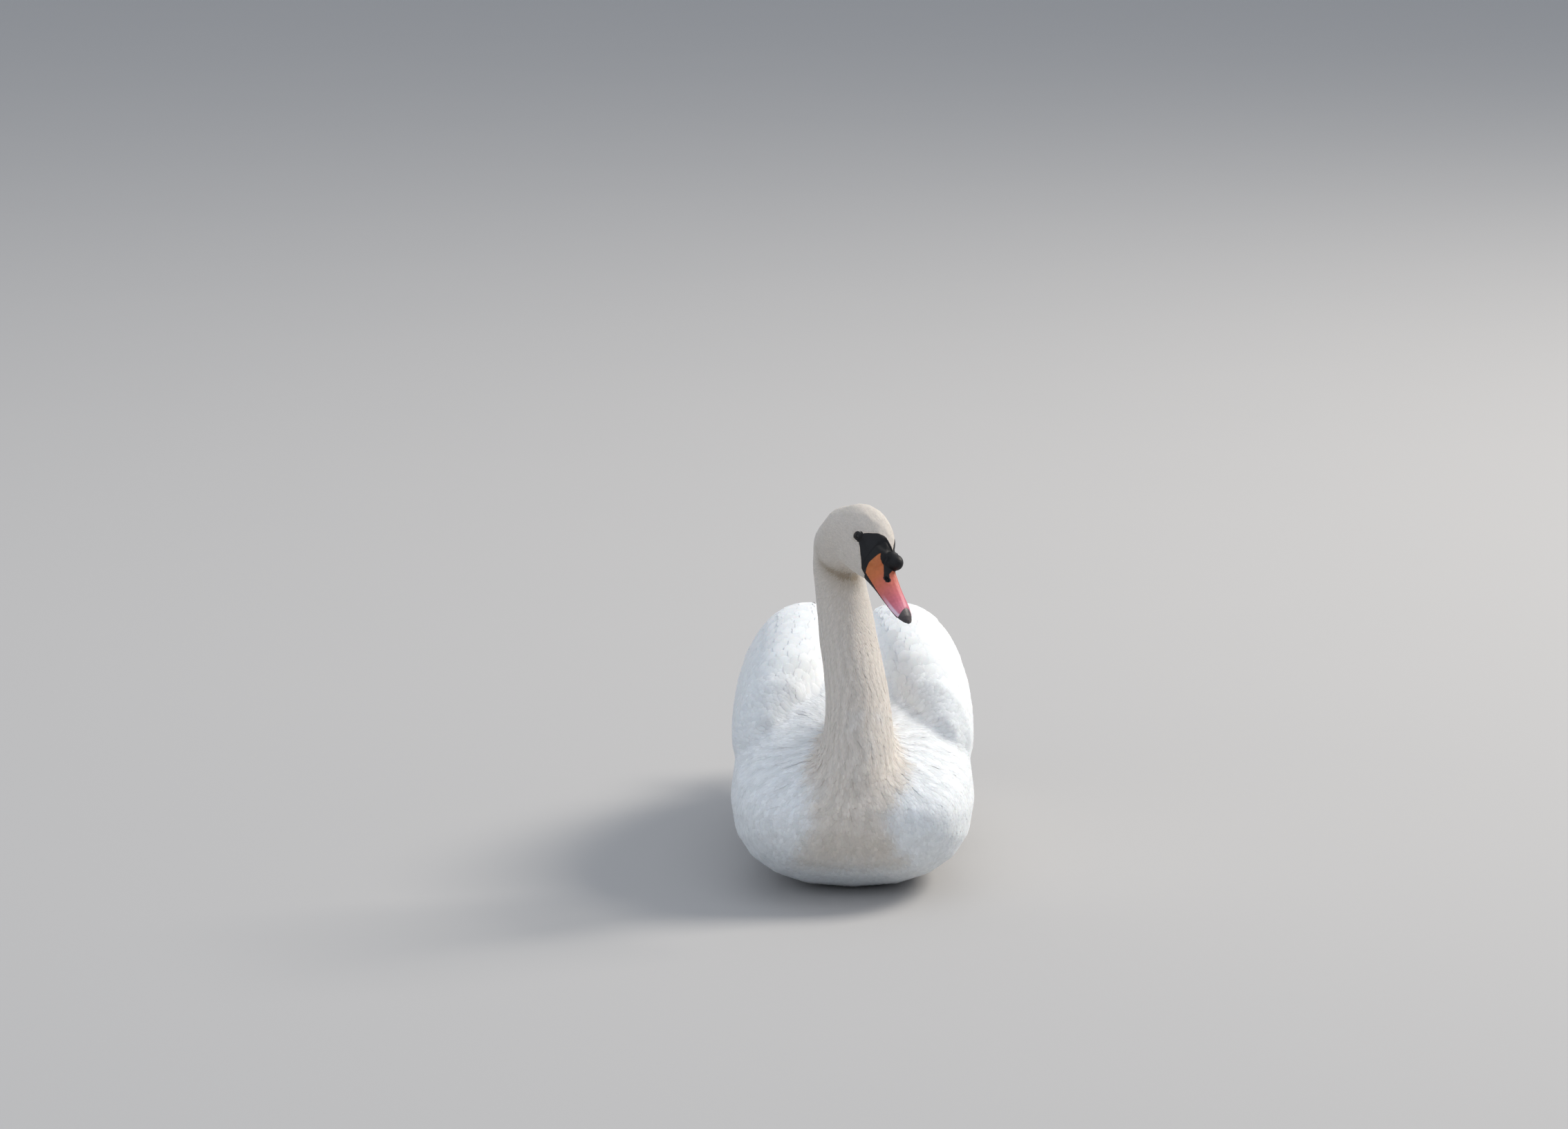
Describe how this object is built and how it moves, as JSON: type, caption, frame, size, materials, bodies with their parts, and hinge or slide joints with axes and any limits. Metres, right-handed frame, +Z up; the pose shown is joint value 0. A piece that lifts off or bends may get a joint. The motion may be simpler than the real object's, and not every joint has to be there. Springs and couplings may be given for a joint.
{
  "type": "mute swan",
  "caption": "White swan afloat at rest: boat-shaped body with folded wings, upright curved neck, head turned to one side, orange bill with a black knob, feet tucked under.",
  "frame": {"origin": "middle of the flat of the belly, on the floor", "axes": "-Y to the front of the breast, +Y to the tail, +X to the bird's left, +Z up"},
  "size_m": [0.29, 0.8656, 0.4604],
  "materials": {
    "feather": "matt white plumage",
    "neck_feather": "matt creamy plumage",
    "bill_orange": "smooth horn, satin",
    "bill_black": "bare skin and horn, satin",
    "eye": "wet and glossy",
    "foot": "leathery skin, matt"
  },
  "bodies": {
    "root": {"trunk": "feather", "neck_lower": "neck_feather", "neck_upper": "neck_feather", "head": "neck_feather", "bill_upper": "bill_orange", "bill_lower": "bill_orange", "bill_knob": "bill_black", "bill_nail": "bill_black", "eye_left": "eye", "eye_right": "eye", "wing_left": "feather", "wing_right": "feather", "primaries_left": "feather", "primaries_right": "feather", "tail": "feather", "leg_left": "foot", "leg_right": "foot", "foot_left": "foot", "foot_right": "foot"}
  },
  "joints": []
}
